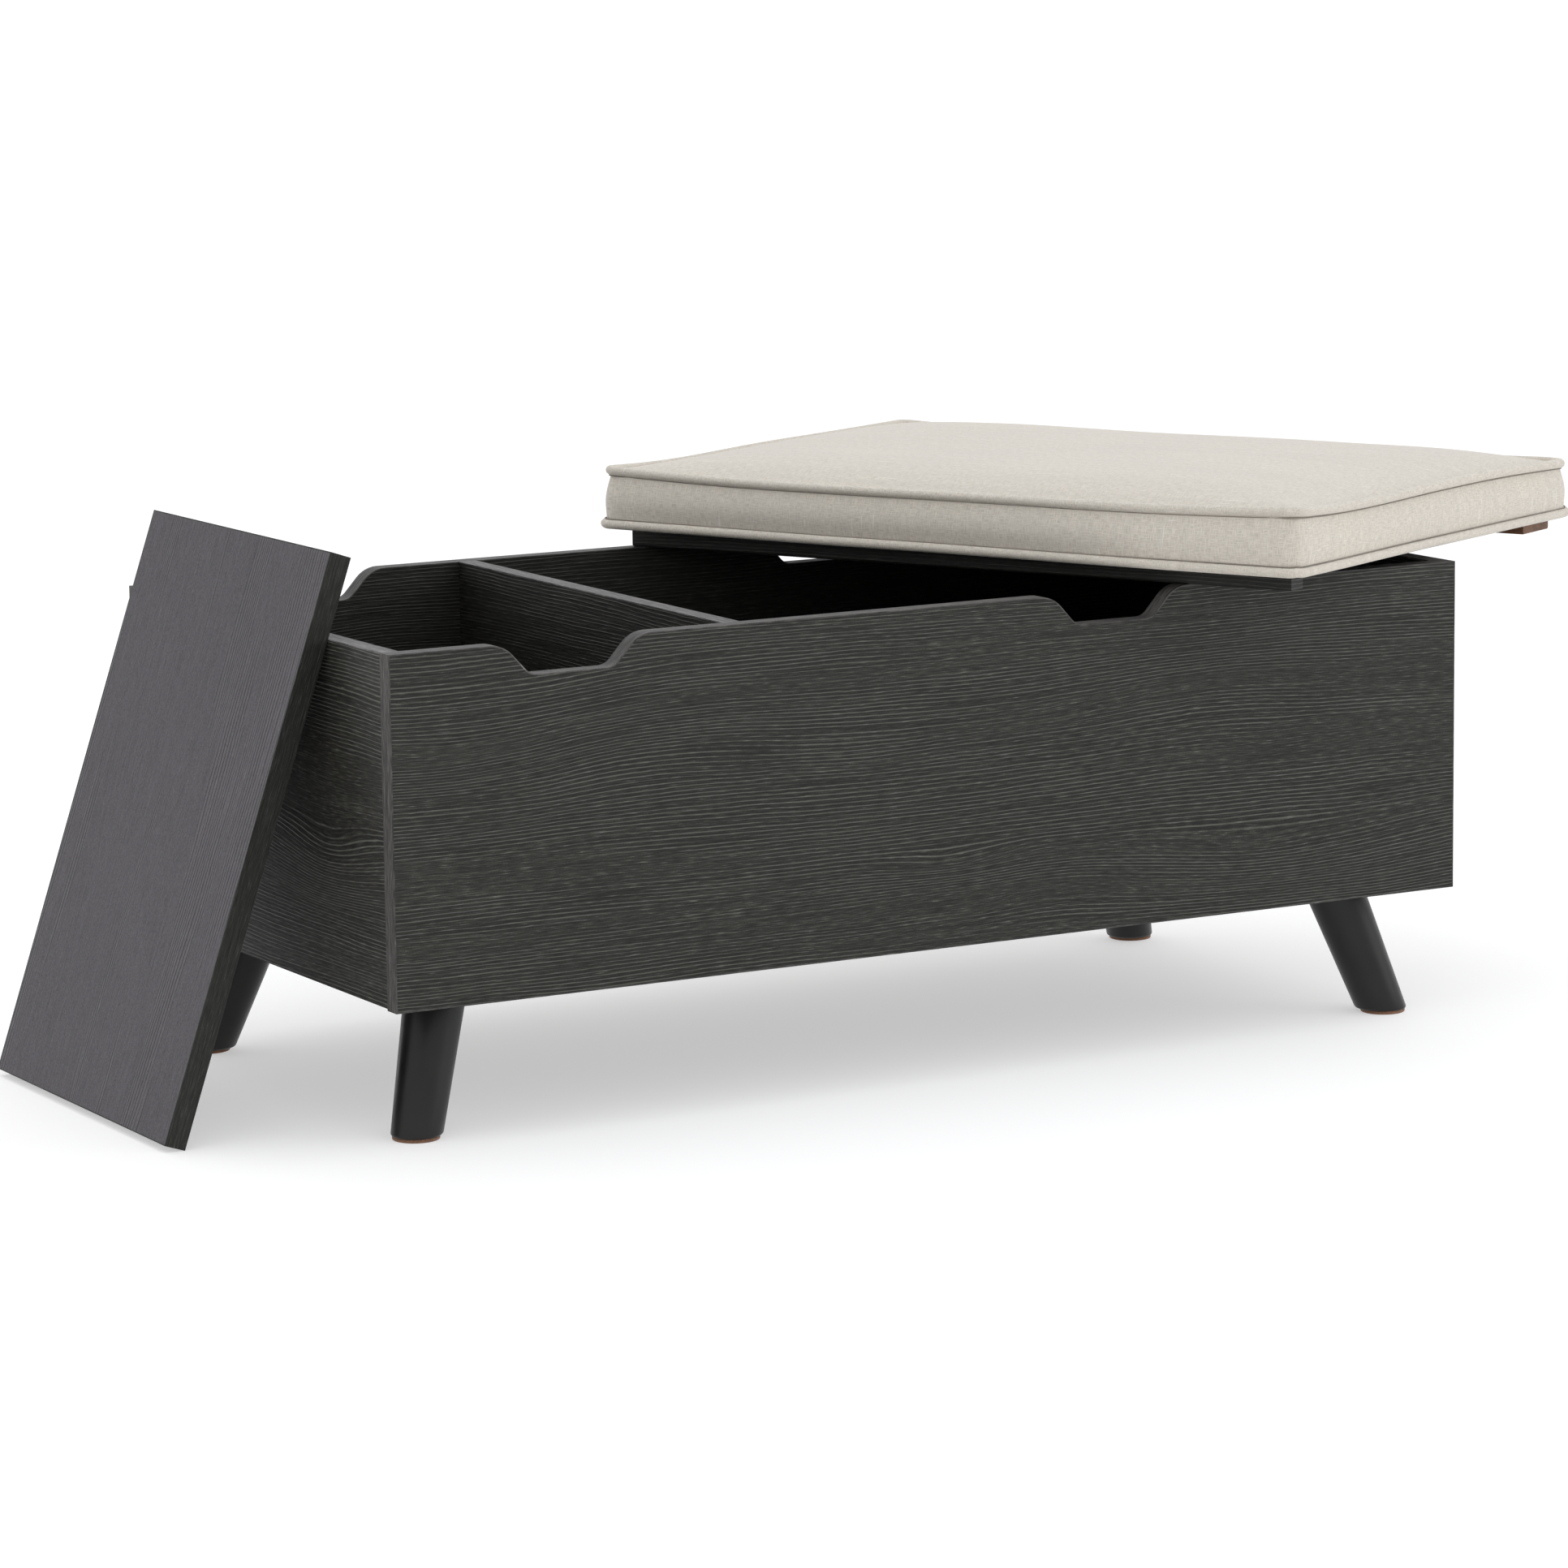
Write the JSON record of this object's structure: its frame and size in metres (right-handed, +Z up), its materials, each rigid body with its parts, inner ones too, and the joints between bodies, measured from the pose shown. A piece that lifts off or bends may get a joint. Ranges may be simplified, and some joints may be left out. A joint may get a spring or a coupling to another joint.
{
  "type": "storage bench",
  "caption": "Low storage bench on splayed legs: a box with open bays, a loose lid board leaning on its side, and a loose seat board with a piped cushion laid across its rims.",
  "frame": {"origin": "on the floor, under the middle of the whole object's bounding box in its rest pose, with the lid leaning and the seat turned", "axes": "+X along the box from the small bay to the large bay, +Y from front to back, +Z up"},
  "size_m": [1.3625, 0.8414, 0.4646],
  "materials": {
    "dark_laminate": "embossed dark charcoal wood-grain laminate on particle board",
    "edge_band": "thin wood-grain edge strip, satin",
    "black_lacquer": "black satin lacquer on turned wood",
    "black_steel": "black powder coat",
    "zinc_steel": "zinc-plated steel",
    "black_plastic": "matt black plastic",
    "raw_wood": "planed brown wood, unfinished",
    "brown_felt": "brown felt",
    "hook_and_loop": "black hook and loop tape",
    "foam": "upholstery foam",
    "linen_fabric": "light beige-grey slubbed linen weave",
    "zipper_tape": "woven zipper tape"
  },
  "bodies": {
    "box": {"front_panel": "dark_laminate", "front_edge_band": "edge_band", "back_panel": "dark_laminate", "back_edge_band": "edge_band", "left_side_panel": "dark_laminate", "left_side_edge_band": "edge_band", "right_side_panel": "dark_laminate", "right_side_edge_band": "edge_band", "divider_panel": "dark_laminate", "divider_edge_band": "edge_band", "bottom_panel": "dark_laminate", "cam_locks": "zinc_steel", "cam_covers": "black_plastic", "cam_bolts": "zinc_steel", "panel_dowels": "raw_wood", "divider_screws": "zinc_steel", "leg_front_left": "black_lacquer", "leg_front_right": "black_lacquer", "leg_back_left": "black_lacquer", "leg_back_right": "black_lacquer", "leg_plates": "black_steel", "leg_bolts": "zinc_steel", "leg_plate_screws": "zinc_steel", "foot_pads": "brown_felt"},
    "lid": {"lid_board": "dark_laminate", "lid_edge_band": "edge_band", "lid_battens": "raw_wood", "lid_batten_screws": "zinc_steel"},
    "seat": {"seat_board": "dark_laminate", "seat_edge_band": "edge_band", "seat_front_rail": "dark_laminate", "seat_rear_rail": "raw_wood", "seat_rail_screws": "zinc_steel", "seat_loop_tape": "hook_and_loop"},
    "cushion": {"cushion_foam": "foam", "cushion_cover": "linen_fabric", "cushion_piping_bottom": "linen_fabric", "cushion_piping_top": "linen_fabric", "cushion_zipper": "zipper_tape", "cushion_zipper_pull": "zinc_steel", "cushion_hook_tape": "hook_and_loop"}
  },
  "joints": [
    {"name": "lid_lift", "type": "slide", "parent": "box", "child": "lid", "axis": [0, 0, 1], "range_m": [0, 0.5]},
    {"name": "seat_lift", "type": "slide", "parent": "box", "child": "seat", "axis": [0, 0, 1], "range_m": [0, 0.3]},
    {"name": "cushion_lift", "type": "slide", "parent": "seat", "child": "cushion", "axis": [0, 0, 1], "range_m": [0, 0.2]}
  ]
}
